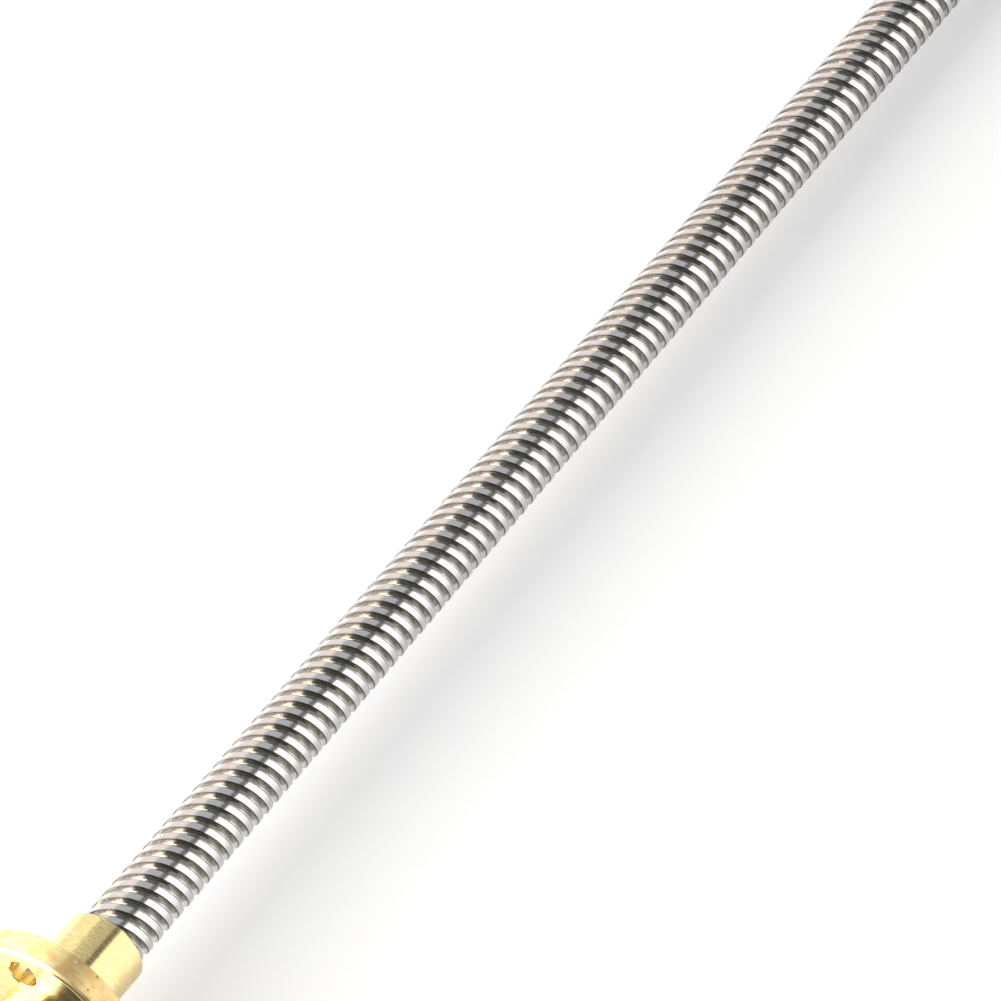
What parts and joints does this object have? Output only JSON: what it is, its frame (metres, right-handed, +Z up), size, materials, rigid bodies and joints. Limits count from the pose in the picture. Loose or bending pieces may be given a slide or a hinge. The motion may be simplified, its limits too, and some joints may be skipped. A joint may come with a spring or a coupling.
{
  "type": "trapezoidal lead screw",
  "caption": "Multi-start trapezoidal lead screw in bright steel, with a turned brass flanged nut near one end.",
  "frame": {"origin": "centre of the screw's near end face, on its axis", "axes": "+X along the screw from the nut's end to the far end, +Z up as it lies, +Y across"},
  "size_m": [0.3, 0.022, 0.022],
  "materials": {
    "screw_steel": "bright turned steel",
    "nut_brass": "bright turned brass"
  },
  "bodies": {
    "screw": {"lead_screw": "screw_steel"},
    "nut": {"flange_nut": "nut_brass"}
  },
  "joints": [
    {"name": "nut_travel", "type": "slide", "parent": "screw", "child": "nut", "axis": [1, 0, 0], "range_m": [-0.006, 0.279]}
  ]
}
